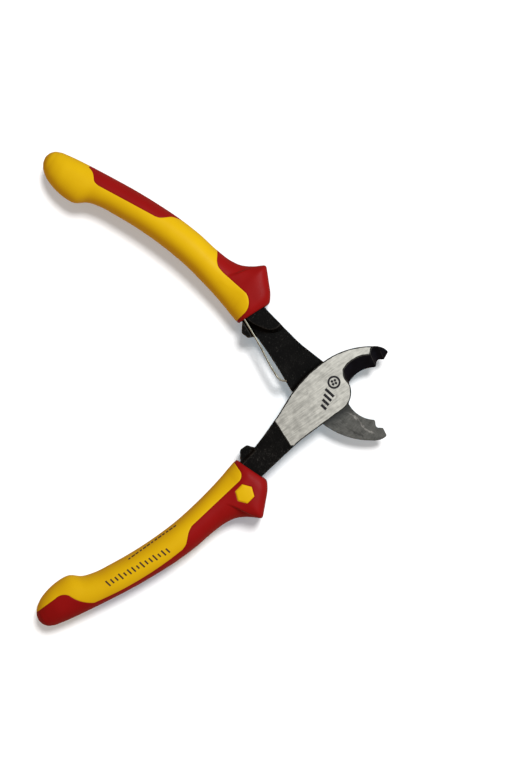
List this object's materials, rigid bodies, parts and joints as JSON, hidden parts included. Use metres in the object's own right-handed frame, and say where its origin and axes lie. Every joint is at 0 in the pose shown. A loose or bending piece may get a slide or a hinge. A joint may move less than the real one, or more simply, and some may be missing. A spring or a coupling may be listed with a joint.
{
  "type": "cable cutter",
  "caption": "One-hand cable cutter, fully open: two riveted steel halves with hooked shearing jaws, an opening leaf spring and two-colour moulded grips with guards.",
  "frame": {"origin": "on the pivot axis, at the ground outer face of the rear half (the half whose plate is underneath)", "axes": "+X along the tool's line of symmetry, from the handles towards the open jaws; +Y towards the rear half's handle; +Z along the pivot axis, from the rear plate to the front plate"},
  "size_m": [0.1591, 0.2172, 0.021],
  "materials": {
    "forged_steel": "ground and brushed head, blackened arms and bevels",
    "rivet_steel": "ground flush",
    "spring_steel": "rolled spring strip",
    "sleeve_plastic": "hard moulded",
    "yellow_plastic": "fine matte",
    "red_plastic": "soft-touch matte"
  },
  "bodies": {
    "front": {"front_blade_half": "forged_steel", "pivot_rivet": "rivet_steel", "front_grip_inner_sleeve": "sleeve_plastic", "front_grip_yellow_panel": "yellow_plastic", "front_grip_red_shell": "red_plastic", "front_grip_hex_inlay": "yellow_plastic"},
    "rear": {"rear_blade_half": "forged_steel", "opening_spring": "spring_steel", "spring_anchor_pin": "rivet_steel", "rear_grip_inner_sleeve": "sleeve_plastic", "rear_grip_yellow_panel": "yellow_plastic", "rear_grip_red_shell": "red_plastic", "rear_grip_hex_inlay": "yellow_plastic"}
  },
  "joints": [
    {"name": "closing", "type": "hinge", "parent": "front", "child": "rear", "pos_m": [0, 0, 0.0055], "axis": [0, 0, 1], "range_deg": [0, 71], "stiffness_Nm_per_rad": 0.16, "deforming": ["opening_spring"]}
  ]
}
